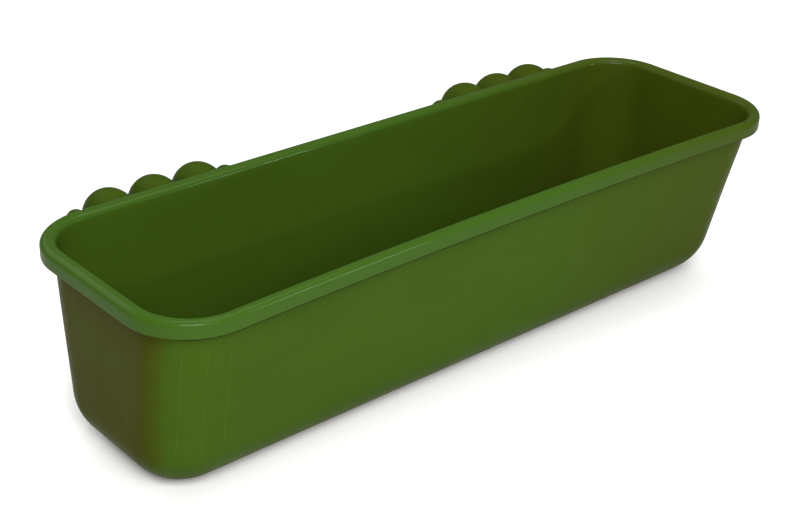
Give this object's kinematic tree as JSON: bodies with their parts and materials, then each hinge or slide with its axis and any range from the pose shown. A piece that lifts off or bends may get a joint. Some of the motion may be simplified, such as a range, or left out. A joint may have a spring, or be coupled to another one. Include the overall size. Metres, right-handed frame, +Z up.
{
  "type": "trough feeder",
  "caption": "Long open-top feed trough with a turned-down rim, hung on a rail, board edge or mesh by fluted hook brackets screwed to its rear wall.",
  "frame": {"origin": "on the underside of the flat floor, below the centre of the rim's outline", "axes": "+X along the trough, +Y towards the rear wall that carries the hook brackets, +Z up"},
  "size_m": [0.6, 0.2338, 0.159],
  "materials": {
    "tub_plastic": "satin injection-moulded olive green polypropylene",
    "bracket_plastic": "satin injection-moulded olive green polypropylene",
    "screw_steel": "bright zinc-plated steel"
  },
  "bodies": {
    "root": {"trough_tub": "tub_plastic", "left_hook_bracket": "bracket_plastic", "right_hook_bracket": "bracket_plastic", "left_bracket_screws": "screw_steel", "right_bracket_screws": "screw_steel"}
  },
  "joints": []
}
